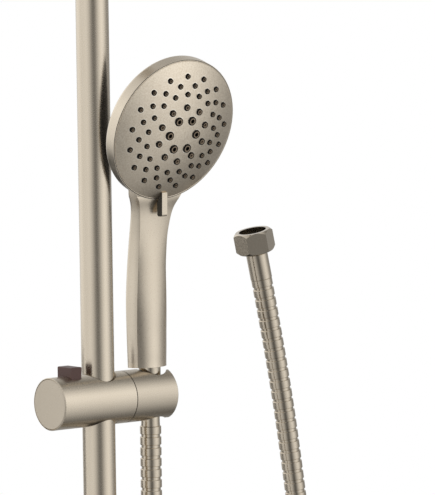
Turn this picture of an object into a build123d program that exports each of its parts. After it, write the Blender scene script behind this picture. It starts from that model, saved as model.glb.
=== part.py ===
"""A hand shower on its slide bar, with its hose: every piece a separate solid, in millimetres.

The wall is the plane y = 0, the front of the object looks towards -Y, and +Z is up along the bar.
The origin lies on the wall, half way between the two wall fixings.
"""

import math
import os

from build123d import *

os.makedirs("parts", exist_ok=True)

# Clearances
running_fit = 0.05
seat_gap = 0.1
seam_gap = 0.2

# Slide bar and its two wall posts
bar_diameter = 22.2
bar_wall = 1.5
bar_standoff = 47.0
post_spacing = 712.0
post_diameter = 35.0
post_reach = 67.0
post_edge = 1.2
bar_socket_overrun = 8.0
flange_diameter = 60.0
flange_height = 14.0
flange_rim = 2.6
flange_round = 3.4
flange_waist = 3.6
flange_waist_rise = 5.4
flange_lip = 0.8
bracket_room = 1.0
bracket_depth_room = 0.5
bracket_disc_diameter = 42.0
bracket_disc_thickness = 4.0
boss_diameter = 18.0
boss_length = 28.0
boss_end_room = 1.0
wall_screw_hole = 5.4
screw_head_bore = 10.8
grub_screw_diameter = 5.0
grub_screw_from_wall = 20.0
grub_screw_sink = 1.5
grub_screw_key = 2.8

# Slider that runs on the bar
slider_height = -4.0
slider_diameter = 35.4
slider_left = 41.2
slider_right = 19.5
slider_edge = 0.4
end_cap_diameter = 34.0
end_cap_thickness = 3.0
end_cap_edge = 0.4
bush_wall = 1.0
bush_length = 25.0
bush_collar = 1.2
bush_collar_height = 3.0
brake_diameter = 13.8
brake_length = 17.0
brake_travel = 0.75
brake_gap = 0.35
brake_lap = 6.0

# Lock button on top of the slider
button_from_bar = 24.1
button_width = 8.6
button_depth = 15.0
button_top = 24.0
button_flare = 0.6
button_root = 11.0
button_travel = 3.0
button_clearance = 0.35
button_floor_room = 0.6
button_shoulder = 1.5
button_round = 0.7
wedge_width = 4.2
wedge_depth = 6.0
wedge_tip = -2.0
wedge_shaft_inset = 1.0
wedge_shaft_depth = 7.0

# Swivel between slider and holder
stud_diameter = 10.0
stud_head_diameter = 16.0
stud_head_height = 3.4
stud_thread = 5.0
stud_end_room = 0.5
stud_key = 6.0
stud_head_room = 0.4
swivel_washer_diameter = 33.4
swivel_washer_thickness = 0.6
swivel_web = 6.0
spring_washer_thickness = 1.0
spring_washer_inset = 0.3

# Holder and its tapered cup
holder_offset = 44.4
holder_end = 55.6
holder_edge = 0.8
cup_top_diameter = 22.4
cup_bottom_diameter = 19.2
cup_slot = 13.8
liner_wall = 1.3
liner_top = 9.0
liner_bottom = -14.0

# Hose, its tapered end and its free end
cone_taper = 2.0
neck_diameter = 15.0
stem_diameter = 9.0
stem_length = 16.0
stem_end_room = 1.0
ring_groove_width = 1.9
ring_groove_depth = 0.8
ring_thickness = 0.8
ring_height = 9.6
waterway_diameter = 6.0
sleeve_diameter = 12.8
sleeve_end = -20.0
hose_diameter = 14.6
hose_valley_diameter = 13.0
hose_bore_diameter = 9.0
rib_pitch = 7.3
end_sleeve_diameter = 15.0
end_sleeve_length = 19.0
end_nut_across_flats = 24.0
end_nut_height = 15.0
end_nut_bore = 19.0
end_nut_relief = 20.0
end_tail_flange = 2.0
end_washer_thickness = 2.0
end_washer_step = 0.6
end_nut_web = 3.0
end_nut_edge = 0.2
tail_clearance = 0.4
thread_relief = 0.5
crimp_step = 0.6
crimp_length = 1.5

# Hand shower
foot_gap = 0.9
side_start = 48.0
side_end = 80.0
side_corner = 3.0
back_start = 150.0
socket_diameter = 12.4
socket_length = 21.0
tube_diameter = 6.0
tube_bore = 4.4
tube_set_back = 1.0
tube_bend = 30.0
channel_bend = 20.0
channel_lead = 1.2
head_bar_gap = 4.68
head_height = 180.5
head_tilt = 18.0
face_diameter = 99.0
housing_wall = 0.4
housing_band = 7.2
housing_round = 3.0
housing_depth = 17.5
housing_skin = 2.0
housing_lean = 75.0
face_rebate = 3.0
face_crown = 10.8
face_skin = 2.2
face_edge = 0.7
face_rim_wall = 3.0
face_rim_round = 0.25
mat_skin = 1.2
mat_margin = 3.2
engine_step = 8.1
engine_thickness = 3.6
engine_front = -5.2
engine_seat = 1.6
engine_hub_diameter = 24.0
engine_hub_rise = 1.5

# Spray nozzles: ring radius, how many, outside diameter, start angle
nozzle_rings = [
    (11.2, 6, 5.8, 0.0),
    (19.2, 10, 4.4, 18.0),
    (27.9, 17, 3.5, 5.3),
    (33.7, 17, 3.5, 15.9),
    (39.4, 17, 3.5, 5.3),
]
nozzle_stand = 0.9
nozzle_fit = 0.25
nozzle_hole_share = 0.24
nozzle_hole_sink = 1.0

# Spray selector. The lever's outline is given as (forward, up) from the lowest point of the head's rim.
lever_thickness = 4.4
lever_outline = [(4.95, 5.75), (4.48, -11.25), (-0.8, -11.25), (-0.8, -1.85), (0.24, -0.39), (0.7, 1.03)]
lever_foot_round = 1.6
lever_tip_round = 0.4
disc_margin = 0.6
disc_port = 12.0
selector_disc_thickness = 2.0

# Places worked out from the sizes above
bar_radius = bar_diameter / 2
bar_y = -bar_standoff
slider_radius = slider_diameter / 2
handle_bottom = slider_radius + foot_gap
bush_radius = bar_radius + running_fit + bush_wall
face_radius = face_diameter / 2
housing_radius = face_radius + seam_gap + housing_wall
housing_inside = housing_radius - housing_skin
mat_diameter = 2 * (face_radius - face_rim_wall - mat_margin)
engine_diameter = 2 * (housing_inside - engine_step)
engine_back = engine_front - engine_thickness
selector_disc_diameter = 2 * (housing_inside - disc_margin)
tilt = math.radians(head_tilt)
rim_over_bar = math.sqrt(max(housing_radius**2 - holder_offset**2, 0))
head_forward = bar_radius + head_bar_gap + housing_band * math.cos(tilt) + rim_over_bar * math.sin(tilt)
face_out = Vector(0, -math.cos(tilt), -math.sin(tilt))
face_up = Vector(0, -math.sin(tilt), math.cos(tilt))
slider_center = Vector(0, bar_y, slider_height)
holder_center = Vector(holder_offset, bar_y, slider_height)
head_center = holder_center + Vector(0, -head_forward, head_height)
face_plane = Plane(origin=head_center, x_dir=(1, 0, 0), z_dir=face_out)
face_profile = Plane(origin=head_center, x_dir=(1, 0, 0), z_dir=Vector(1, 0, 0).cross(face_out))
face_axis = Axis(head_center, face_out)
holder_profile = Plane(origin=holder_center, x_dir=(1, 0, 0), z_dir=(0, -1, 0))
holder_axis = Axis(holder_center, (0, 0, 1))
bar_profile = Plane(origin=slider_center, x_dir=(1, 0, 0), z_dir=(0, -1, 0))


def save(piece, name):
    """Names a finished piece and writes it."""
    piece.part.label = name
    export_step(piece.part, f"parts/{name}.step")


def across(x):
    """The plane that cuts the slider's axis at x, looking along +X."""
    return Plane(origin=(x, bar_y, slider_height), x_dir=(0, 1, 0), z_dir=(1, 0, 0))


# Slide bar
with BuildPart() as slide_bar:
    with BuildSketch(Plane.XY.offset(-post_spacing / 2 - bar_socket_overrun)):
        with Locations((0, bar_y)):
            Circle(bar_radius)
            Circle(bar_radius - bar_wall, mode=Mode.SUBTRACT)
    extrude(amount=post_spacing + 2 * bar_socket_overrun)
save(slide_bar, "slide_bar")

# Wall fixings: a bracket with its screw hole, a post held on it by a grub screw, and a flange
for end, side in (("upper", 1), ("lower", -1)):
    height = side * post_spacing / 2
    profile = Plane(origin=(0, 0, height), x_dir=(1, 0, 0), z_dir=(0, 0, -1))
    out_of_wall = Axis((0, 0, height), (0, -1, 0))
    bore_floor = bracket_disc_thickness + boss_length

    with BuildPart() as bracket:
        with BuildSketch(profile):
            with BuildLine():
                Polyline(
                    (wall_screw_hole / 2, 0),
                    (bracket_disc_diameter / 2, 0),
                    (bracket_disc_diameter / 2, bracket_disc_thickness),
                    (boss_diameter / 2, bracket_disc_thickness),
                    (boss_diameter / 2, bore_floor),
                    (screw_head_bore / 2, bore_floor),
                    (screw_head_bore / 2, 2 * bracket_disc_thickness),
                    (wall_screw_hole / 2, 2 * bracket_disc_thickness),
                    close=True,
                )
            make_face()
        revolve(axis=out_of_wall)
    save(bracket, f"{end}_bracket")

    with BuildPart() as post:
        with BuildSketch(profile):
            with BuildLine():
                Polyline(
                    (0, post_reach),
                    (post_diameter / 2 - post_edge, post_reach),
                    (post_diameter / 2, post_reach - post_edge),
                    (post_diameter / 2, bracket_disc_thickness),
                    (boss_diameter / 2 + running_fit, bracket_disc_thickness),
                    (boss_diameter / 2 + running_fit, bore_floor + boss_end_room),
                    (0, bore_floor + boss_end_room),
                    close=True,
                )
            make_face()
        revolve(axis=out_of_wall)
        socket_floor = height + side * (bar_socket_overrun + seat_gap)
        with BuildSketch(Plane.XY.offset(socket_floor)):
            with Locations((0, bar_y)):
                Circle(bar_radius + running_fit)
        extrude(amount=-side * post_diameter, mode=Mode.SUBTRACT)
        with BuildSketch(Plane.XY.offset(height)):
            with Locations((0, -grub_screw_from_wall)):
                Circle(grub_screw_diameter / 2 + running_fit)
        extrude(amount=-post_diameter, mode=Mode.SUBTRACT)
    save(post, f"{end}_post")

    with BuildPart() as grub_screw:
        grub_tip = height - boss_diameter / 2 - seat_gap
        grub_length = post_diameter / 2 - boss_diameter / 2 - grub_screw_sink
        with BuildSketch(Plane.XY.offset(grub_tip)):
            with Locations((0, -grub_screw_from_wall)):
                Circle(grub_screw_diameter / 2)
        extrude(amount=-grub_length)
        with BuildSketch(Plane.XY.offset(grub_tip - grub_length)):
            with Locations((0, -grub_screw_from_wall)):
                RegularPolygon(grub_screw_key / 2, 6)
        extrude(amount=grub_length / 2, mode=Mode.SUBTRACT)
    save(grub_screw, f"{end}_grub_screw")

    with BuildPart() as flange:
        ring = post_diameter / 2 + running_fit
        rim = flange_diameter / 2
        room_radius = bracket_disc_diameter / 2 + bracket_room
        room_height = bracket_disc_thickness + bracket_depth_room
        with BuildSketch(profile):
            with BuildLine():
                Line((room_radius, 0), (rim, 0))
                Line((rim, 0), (rim, flange_rim))
                shoulder = (rim - flange_round, flange_rim + flange_round)
                TangentArc((rim, flange_rim), shoulder, tangent=(0, 1))
                lip = (ring + flange_lip, flange_height)
                waist = (ring + flange_waist, flange_rim + flange_waist_rise)
                Spline(shoulder, waist, lip, tangents=[(-1, 0.12), (-0.12, 1)])
                Line(lip, (ring, flange_height))
                Line((ring, flange_height), (ring, room_height))
                Line((ring, room_height), (room_radius, room_height))
                Line((room_radius, room_height), (room_radius, 0))
            make_face()
        revolve(axis=out_of_wall)
    save(flange, f"{end}_flange")

# Plastic bush that runs on the bar, with a collar that carries the slider
collar_radius = bush_radius + bush_collar
with BuildPart() as bar_bush:
    with BuildSketch(bar_profile):
        with BuildLine():
            Polyline(
                (bar_radius + running_fit, -bush_length / 2),
                (bush_radius, -bush_length / 2),
                (bush_radius, -bush_collar_height / 2),
                (collar_radius, -bush_collar_height / 2),
                (collar_radius, bush_collar_height / 2),
                (bush_radius, bush_collar_height / 2),
                (bush_radius, bush_length / 2),
                (bar_radius + running_fit, bush_length / 2),
                close=True,
            )
        make_face()
    revolve(axis=Axis(slider_center, (0, 0, 1)))
save(bar_bush, "bar_bush")

# Slider: a short bar across the slide bar, bored for the bush, the brake and the lock button
pocket_width = button_width + 2 * button_clearance
pocket_depth = button_depth + 2 * button_clearance
pocket_floor = button_root - button_travel - button_floor_room
pocket_x = -button_from_bar
with BuildPart() as slider_body:
    with BuildSketch(across(-slider_left)):
        Circle(slider_radius)
    extrude(amount=slider_left + slider_right)
    rims = slider_body.edges().filter_by(GeomType.CIRCLE)
    chamfer(rims.sort_by(Axis.X)[0], slider_edge)
    with BuildSketch(across(-slider_left)):
        Circle(end_cap_diameter / 2 + seam_gap / 2)
    extrude(amount=end_cap_thickness, mode=Mode.SUBTRACT)
    with BuildSketch(across(-slider_left)):
        Circle(brake_diameter / 2 + running_fit)
    extrude(amount=slider_left, mode=Mode.SUBTRACT)
    with BuildSketch(Plane(slider_center).offset(-slider_radius)):
        Circle(bush_radius + running_fit)
    extrude(amount=slider_diameter, mode=Mode.SUBTRACT)
    with BuildSketch(Plane(slider_center).offset(-bush_collar_height / 2 - seat_gap)):
        Circle(collar_radius + running_fit)
    extrude(amount=bush_collar_height + 2 * seat_gap, mode=Mode.SUBTRACT)
    with BuildSketch(Plane(slider_center).offset(pocket_floor)):
        with Locations((pocket_x, 0)):
            Rectangle(pocket_width, pocket_depth)
    extrude(amount=slider_diameter, mode=Mode.SUBTRACT)
    with BuildSketch(Plane(slider_center)):
        with Locations((pocket_x, 0)):
            Rectangle(pocket_width - 2 * wedge_shaft_inset, wedge_shaft_depth)
    extrude(amount=slider_radius, mode=Mode.SUBTRACT)
    with BuildSketch(across(slider_right)):
        Circle(stud_diameter / 2 + running_fit)
    extrude(amount=-stud_thread - stud_end_room, mode=Mode.SUBTRACT)
save(slider_body, "slider_body")

with BuildPart() as slider_end_cap:
    with BuildSketch(across(-slider_left)):
        Circle(end_cap_diameter / 2)
    extrude(amount=end_cap_thickness - seat_gap)
    cap_rims = slider_end_cap.edges().filter_by(GeomType.CIRCLE)
    chamfer(cap_rims.sort_by(Axis.X)[0], end_cap_edge)
save(slider_end_cap, "slider_end_cap")

# Lock button: a flared block whose wedge draws the brake away from the bar
wedge_slope = brake_travel / button_travel
wedge_right = pocket_x + wedge_width / 2
wedge_left = pocket_x - wedge_width / 2
with BuildPart() as lock_button:
    with BuildSketch(bar_profile):
        with BuildLine():
            half = button_width / 2
            Polyline(
                (pocket_x - half, button_root),
                (pocket_x - half, button_top),
                (pocket_x + half + button_flare / 2, button_top),
                (pocket_x + half - button_flare / 2, slider_radius - button_shoulder),
                (pocket_x + half - button_flare / 2, button_root),
                close=True,
            )
        make_face()
    extrude(amount=button_depth / 2, both=True)
    fillet(lock_button.faces().sort_by(Axis.Z)[-1].edges(), button_round)
    with BuildSketch(bar_profile):
        with BuildLine():
            Polyline(
                (wedge_left, button_root),
                (wedge_right, button_root),
                (wedge_right, wedge_tip),
                (wedge_left + wedge_slope * (button_root - wedge_tip), wedge_tip),
                close=True,
            )
        make_face()
    extrude(amount=wedge_depth / 2, both=True)
save(lock_button, "lock_button")

brake_nose = -bush_radius - brake_gap
with BuildPart() as brake_shoe:
    with BuildSketch(across(brake_nose + brake_lap)):
        Circle(brake_diameter / 2)
    extrude(amount=-brake_length - brake_lap)
    with BuildSketch(Plane(slider_center).offset(-slider_radius)):
        Circle(-brake_nose)
    extrude(amount=slider_diameter, mode=Mode.SUBTRACT)
    with BuildSketch(Plane(slider_center).offset(-bush_collar_height / 2 - brake_gap)):
        Circle(collar_radius + brake_gap)
    extrude(amount=bush_collar_height + 2 * brake_gap, mode=Mode.SUBTRACT)
    with BuildSketch(bar_profile):
        with BuildLine():
            gap = button_clearance
            low = wedge_tip - button_travel - button_floor_room
            high = brake_diameter
            Polyline(
                (wedge_left - gap + wedge_slope * (button_root - high), high),
                (wedge_right + gap + brake_travel, high),
                (wedge_right + gap + brake_travel, low),
                (wedge_left - gap + wedge_slope * (button_root - low), low),
                close=True,
            )
        make_face()
    extrude(amount=wedge_depth / 2 + gap, both=True, mode=Mode.SUBTRACT)
save(brake_shoe, "brake_shoe")

# Swivel: a stud in the slider, a thin washer at the seam and a spring washer under the head
holder_start = slider_right + swivel_washer_thickness + running_fit
web_end = holder_start + swivel_web
head_start = web_end + spring_washer_thickness + 2 * running_fit
with BuildPart() as swivel_stud:
    with BuildSketch(across(slider_right - stud_thread)):
        Circle(stud_diameter / 2)
    extrude(amount=head_start + stud_head_height - slider_right + stud_thread)
    with BuildSketch(across(head_start)):
        Circle(stud_head_diameter / 2)
    extrude(amount=stud_head_height)
    with BuildSketch(across(head_start + stud_head_height)):
        RegularPolygon(stud_key / 2, 6)
    extrude(amount=-stud_head_height, mode=Mode.SUBTRACT)
save(swivel_stud, "swivel_stud")

with BuildPart() as swivel_washer:
    with BuildSketch(across(slider_right)):
        Circle(swivel_washer_diameter / 2)
        Circle(stud_diameter / 2 + running_fit, mode=Mode.SUBTRACT)
    extrude(amount=swivel_washer_thickness)
save(swivel_washer, "swivel_washer")

with BuildPart() as spring_washer:
    with BuildSketch(across(web_end + running_fit)):
        Circle(stud_head_diameter / 2 - spring_washer_inset)
        Circle(stud_diameter / 2 + running_fit, mode=Mode.SUBTRACT)
    extrude(amount=spring_washer_thickness)
save(spring_washer, "spring_washer")

# Holder: the same round bar, with a tapered cup that is open at its end for the hose
cup_slope = (cup_top_diameter - cup_bottom_diameter) / 2 / slider_diameter


def cup_radius(z):
    """Radius of the holder's tapered hole at height z above its axis."""
    return cup_bottom_diameter / 2 + cup_slope * (z + slider_radius)


with BuildPart() as holder_body:
    with BuildSketch(across(holder_start)):
        Circle(slider_radius)
    extrude(amount=holder_end - holder_start)
    chamfer(holder_body.edges().filter_by(GeomType.CIRCLE).sort_by(Axis.X)[-1], holder_edge)
    with BuildSketch(holder_profile):
        with BuildLine():
            over = slider_radius + 1
            Polyline(
                (0, -over), (cup_radius(-over), -over), (cup_radius(over), over), (0, over), close=True
            )
        make_face()
    revolve(axis=holder_axis, mode=Mode.SUBTRACT)
    with BuildSketch(Plane(holder_center).offset(-slider_radius)):
        with Locations((holder_end - holder_offset, 0)):
            Rectangle(2 * (holder_end - holder_offset), cup_slot)
    extrude(amount=slider_diameter, mode=Mode.SUBTRACT)
    with BuildSketch(across(holder_start)):
        Circle(stud_diameter / 2 + running_fit)
    extrude(amount=swivel_web + 1, mode=Mode.SUBTRACT)
    with BuildSketch(across(web_end)):
        Circle(stud_head_diameter / 2 + stud_head_room)
    extrude(amount=holder_offset - web_end, mode=Mode.SUBTRACT)
save(holder_body, "holder_body")

with BuildPart() as holder_liner:
    with BuildSketch(holder_profile):
        with BuildLine():
            Polyline(
                (cup_radius(liner_bottom) - liner_wall, liner_bottom),
                (cup_radius(liner_bottom) - running_fit, liner_bottom),
                (cup_radius(liner_top) - running_fit, liner_top),
                (cup_radius(liner_top) - liner_wall, liner_top),
                close=True,
            )
        make_face()
    revolve(axis=holder_axis)
    with BuildSketch(Plane(holder_center).offset(liner_bottom)):
        with Locations((holder_end - holder_offset, 0)):
            Rectangle(2 * (holder_end - holder_offset), cup_slot)
    extrude(amount=liner_top - liner_bottom, mode=Mode.SUBTRACT)
save(holder_liner, "holder_liner")

# Tapered hose end: it sits in the liner, and its stem turns in the handle's socket
cone_seat = cup_radius(liner_top) - liner_wall - running_fit
neck_top = handle_bottom - seat_gap
stem_top = neck_top + stem_length
groove_low = neck_top + ring_height
with BuildPart() as hose_cone:
    with BuildSketch(holder_profile):
        with BuildLine():
            Polyline(
                (waterway_diameter / 2, sleeve_end),
                (sleeve_diameter / 2, sleeve_end),
                (sleeve_diameter / 2, liner_bottom),
                (cone_seat - cup_slope * (liner_top - liner_bottom), liner_bottom),
                (cone_seat, liner_top),
                (neck_diameter / 2, liner_top + cone_taper),
                (neck_diameter / 2, neck_top),
                (stem_diameter / 2, neck_top),
                (stem_diameter / 2, groove_low),
                (stem_diameter / 2 - ring_groove_depth, groove_low),
                (stem_diameter / 2 - ring_groove_depth, groove_low + ring_groove_width),
                (stem_diameter / 2, groove_low + ring_groove_width),
                (stem_diameter / 2, stem_top),
                (waterway_diameter / 2, stem_top),
                close=True,
            )
        make_face()
    revolve(axis=holder_axis)
save(hose_cone, "hose_cone")

with BuildPart() as stem_o_ring:
    with BuildSketch(holder_profile):
        ring_center = stem_diameter / 2 + running_fit - ring_thickness / 2
        with Locations((ring_center, groove_low + ring_groove_width / 2)):
            Circle(ring_thickness / 2)
    revolve(axis=holder_axis)
save(stem_o_ring, "stem_o_ring")

# Ribbed metal hose: it hangs from the holder in a long loop, and its free end points up.
# The route is (distance along the wall from the bar, height above the slider's axis).
hose_route = [
    (holder_offset, sleeve_end),
    (holder_offset, -80),
    (43.3, -165),
    (40.6, -255),
    (40.2, -322),
    (43.5, -378.8),
    (62.2, -411.3),
    (94.7, -430),
    (132.3, -430),
    (164.8, -411.3),
    (183.5, -378.8),
    (188, -325),
    (188.8, -255),
    (184, -165),
    (172, -75),
    (158, 10),
    (144, 72),
]
route_points = [Vector(x, bar_y, slider_height + z) for x, z in hose_route]
runs = [b - a for a, b in zip(route_points, route_points[1:])]
bend_radii = []
for before, after in zip(runs, runs[1:]):
    turn = math.radians(before.get_angle(after))
    bend_radii.append(0.45 * min(before.length, after.length) / math.tan(turn / 2))
print("hose bend radii", [round(r) for r in bend_radii])
with BuildLine() as hose_line:
    FilletPolyline(*route_points, radius=bend_radii)
hose_path = hose_line.wire()
hose_length = hose_path.length
rib_count = round((hose_length - 2 * hose_diameter) / rib_pitch)
rib_step = (hose_length - 2 * hose_diameter) / rib_count
valley = hose_valley_diameter / 2
crest = hose_diameter / 2


def hose_station(distance):
    """Plane across the hose at a distance along it, with its X axis always along Y."""
    t = distance / hose_length
    return Plane(origin=hose_path @ t, x_dir=(0, 1, 0), z_dir=hose_path % t)


with BuildPart() as hose:
    stations = [(0.0, valley)]
    for rib in range(rib_count):
        start = hose_diameter + rib * rib_step
        for share, radius in ((0.1, valley), (0.28, crest), (0.82, crest), (1.0, valley)):
            stations.append((start + share * rib_step, radius))
    stations.append((hose_length, valley))
    for distance, radius in stations:
        with BuildSketch(hose_station(distance)):
            Circle(radius)
    loft(ruled=True)
    with BuildSketch(hose_station(0)):
        Circle(hose_bore_diameter / 2)
    sweep(path=hose_path, mode=Mode.SUBTRACT)
rib_volume = 0.0
for (d0, r0), (d1, r1) in zip(stations, stations[1:]):
    rib_volume += math.pi * (d1 - d0) * (r0 * r0 + r0 * r1 + r1 * r1) / 3
bore_volume = math.pi * (hose_bore_diameter / 2) ** 2 * hose_length
print("hose length", round(hose_length), "ribs", rib_count)
print("hose volume", round(hose.part.volume), "expected", round(rib_volume - bore_volume))
save(hose, "hose")

# Free end of the hose: a crimped sleeve with a flared tail, a washer and a turning hexagon nut
hose_end = route_points[-1]
hose_end_out = runs[-1].normalized()
end_profile = Plane(origin=hose_end, x_dir=(0, 1, 0), z_dir=Vector(0, 1, 0).cross(hose_end_out))
end_axis = Axis(hose_end, hose_end_out)
tail_radius = end_nut_bore / 2 - tail_clearance
nut_start = end_sleeve_length
nut_floor = nut_start + end_nut_web
relief_end = nut_floor + end_tail_flange + end_washer_thickness + thread_relief
crimp_radius = end_sleeve_diameter / 2 - crimp_step
with BuildPart() as hose_end_sleeve:
    with BuildSketch(end_profile):
        with BuildLine():
            Polyline(
                (hose_bore_diameter / 2, 0),
                (end_sleeve_diameter / 2, 0),
                (end_sleeve_diameter / 2, nut_start - crimp_length),
                (crimp_radius, nut_start - seat_gap),
                (crimp_radius, nut_floor + seat_gap),
                (tail_radius, nut_floor + seat_gap),
                (tail_radius, nut_floor + end_tail_flange),
                (hose_bore_diameter / 2, nut_floor + end_tail_flange),
                close=True,
            )
        make_face()
    revolve(axis=end_axis)
save(hose_end_sleeve, "hose_end_sleeve")

washer_bore = hose_bore_diameter / 2 + end_washer_step
with BuildPart() as hose_end_washer:
    with BuildSketch(end_profile):
        with BuildLine():
            Polyline(
                (washer_bore, nut_floor + end_tail_flange),
                (tail_radius, nut_floor + end_tail_flange),
                (tail_radius, nut_floor + end_tail_flange + end_washer_thickness),
                (washer_bore, nut_floor + end_tail_flange + end_washer_thickness),
                close=True,
            )
        make_face()
    revolve(axis=end_axis)
save(hose_end_washer, "hose_end_washer")

with BuildPart() as hose_end_nut:
    nut_plane = Plane(origin=hose_end + hose_end_out * nut_start, x_dir=(0, 1, 0), z_dir=hose_end_out)
    with BuildSketch(nut_plane):
        RegularPolygon(end_nut_across_flats / 2, 6, major_radius=False)
    extrude(amount=end_nut_height)
    with BuildSketch(end_profile):
        with BuildLine():
            reach = end_nut_across_flats
            Polyline(
                (end_nut_across_flats / 2 - end_nut_edge, nut_start),
                (reach, nut_start),
                (reach, nut_start + reach - end_nut_across_flats / 2),
                close=True,
            )
        make_face()
        mirror_line = nut_start + end_nut_height
        with BuildLine():
            Polyline(
                (end_nut_across_flats / 2 - end_nut_edge, mirror_line),
                (reach, mirror_line),
                (reach, mirror_line - reach + end_nut_across_flats / 2),
                close=True,
            )
        make_face()
    revolve(axis=end_axis, mode=Mode.SUBTRACT)
    with BuildSketch(end_profile):
        with BuildLine():
            Polyline(
                (0, nut_start),
                (crimp_radius + running_fit, nut_start),
                (crimp_radius + running_fit, nut_floor),
                (end_nut_relief / 2, nut_floor),
                (end_nut_relief / 2, relief_end),
                (end_nut_bore / 2, relief_end),
                (end_nut_bore / 2, mirror_line),
                (0, mirror_line),
                close=True,
            )
        make_face()
    revolve(axis=end_axis, mode=Mode.SUBTRACT)
save(hose_end_nut, "hose_end_nut")

# Hand shower: sections of the handle from its foot to the neck and on into the head.
# Height, half width at the seam, how far forward the seam lies, crown of the front, radius of the side.
# The lower rows are set out from the foot, and the upper ones downwards from the head.
handle_sections = [
    (handle_bottom, 12.26, 2.81, 4.79, 11.9),
    (handle_bottom + 8.4, 12.41, 2.81, 4.79, 12.0),
    (handle_bottom + 16.4, 12.56, 2.86, 4.79, 12.2),
    (handle_bottom + 24.4, 12.66, 2.91, 4.79, 12.4),
    (handle_bottom + 34.4, 12.66, 3.21, 4.79, 13.0),
    (handle_bottom + 45.4, 12.56, 3.51, 4.69, 13.5),
    (head_height - 105.5, 12.21, 3.91, 4.49, 13.7),
    (head_height - 93.5, 11.86, 4.31, 4.29, 13.3),
    (head_height - 82.5, 11.81, 5.21, 3.69, 12.8),
    (head_height - 71.5, 12.06, 6.41, 2.89, 11.9),
    (head_height - 65.5, 12.51, 7.51, 2.24, 11.4),
    (head_height - 59.5, 13.26, 8.71, 1.69, 10.7),
    (head_height - 52.5, 14.96, 10.71, 1.29, 10.2),
    (head_height - 44.5, 19.36, 13.11, 0.99, 8.7),
]
handle_root = [
    (head_height - 32.5, 21.76, 17.21, 0.99, 8.7),
    (head_height - 20.5, 19.76, 20.71, 0.99, 8.2),
]


def handle_plane(height):
    """Level plane across the handle, with Y pointing to the front."""
    return Plane(origin=holder_center + Vector(0, 0, height), x_dir=(-1, 0, 0), z_dir=(0, 0, 1))


def facing(angle):
    """Direction across the handle at an angle from straight ahead."""
    return Vector(math.sin(math.radians(angle)), math.cos(math.radians(angle)))


def back_outline(half, front, side):
    """Outline of the rear of the handle: flat front edge, bulging sides, tight corners and a curved back."""
    side_mid = (side_start + side_end) / 2
    corner_mid = (side_end + back_start) / 2
    seam = Vector(half, front)
    side_center = seam - facing(side_start) * side
    corner_center = side_center + facing(side_end) * (side - side_corner)
    side_last = side_center + facing(side_end) * side
    corner_last = corner_center + facing(back_start) * side_corner
    back_radius = corner_last.X / facing(back_start).X
    back_reach = corner_last.Y - back_radius * (facing(back_start).Y + 1)
    half_outline = [
        (seam, side_center + facing(side_mid) * side, side_last),
        (side_last, corner_center + facing(corner_mid) * side_corner, corner_last),
    ]
    Line((-half, front), (half, front))
    for start, middle, end in half_outline:
        ThreePointArc((start.X, start.Y), (middle.X, middle.Y), (end.X, end.Y))
        ThreePointArc((-start.X, start.Y), (-middle.X, middle.Y), (-end.X, end.Y))
    ThreePointArc((corner_last.X, corner_last.Y), (0, back_reach), (-corner_last.X, corner_last.Y))


# Route of the water tube, as (forward, height), from the socket to the neck, and on into the head
tube_route = [
    (0, handle_bottom + socket_length),
    (-tube_set_back, head_height - 82.5),
    (5.4, head_height - 52.5),
]
tube_points = [holder_center + Vector(0, -forward, up) for forward, up in tube_route]
with BuildLine() as tube_line:
    FilletPolyline(*tube_points, radius=tube_bend)
tube_path = tube_line.wire()
channel_exit = head_center + face_out * (engine_back - channel_lead) - face_up * engine_diameter / 2
with BuildLine() as channel_line:
    FilletPolyline(*tube_points, channel_exit, radius=[tube_bend, channel_bend])
channel_path = channel_line.wire()

back_lean = math.radians(housing_lean)
back_slope = (-math.sin(back_lean), -math.cos(back_lean))
with BuildPart() as handle_shell:
    for height, half, front, crown, side in handle_sections:
        with BuildSketch(handle_plane(height)):
            with BuildLine():
                back_outline(half, front, side)
            make_face()
    loft()
    for height, half, front, crown, side in handle_sections[-1:] + handle_root:
        with BuildSketch(handle_plane(height)):
            with BuildLine():
                back_outline(half, front, side)
            make_face()
    loft()
    with BuildSketch(face_profile):
        with BuildLine():
            Line((0, 0), (housing_radius, 0))
            Line((housing_radius, 0), (housing_radius, -housing_band))
            corner_end = (
                housing_radius - housing_round + housing_round * math.cos(back_lean),
                -housing_band - housing_round * math.sin(back_lean),
            )
            TangentArc((housing_radius, -housing_band), corner_end, tangent=(0, -1))
            Spline(corner_end, (0, -housing_depth), tangents=[back_slope, (-1, 0)])
            Line((0, -housing_depth), (0, 0))
        make_face()
    revolve(axis=face_axis)
    with BuildSketch(face_profile):
        with BuildLine():
            mouth = face_radius + seam_gap
            Line((0, 0), (mouth, 0))
            Line((mouth, 0), (mouth, -face_rebate))
            Line((mouth, -face_rebate), (housing_inside, -face_rebate))
            Line((housing_inside, -face_rebate), (housing_inside, -housing_band))
            dish_floor = (0, -housing_depth + housing_skin)
            Spline((housing_inside, -housing_band), dish_floor, tangents=[back_slope, (-1, 0)])
            Line(dish_floor, (0, 0))
        make_face()
    revolve(axis=face_axis, mode=Mode.SUBTRACT)
    with BuildSketch(handle_plane(handle_bottom)):
        Circle(socket_diameter / 2 + running_fit)
    extrude(amount=socket_length + seat_gap, mode=Mode.SUBTRACT)
    with BuildSketch(handle_plane(handle_bottom + socket_length)):
        Circle(tube_diameter / 2 + seam_gap)
    sweep(path=channel_path, mode=Mode.SUBTRACT)
save(handle_shell, "handle_shell")

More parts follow.
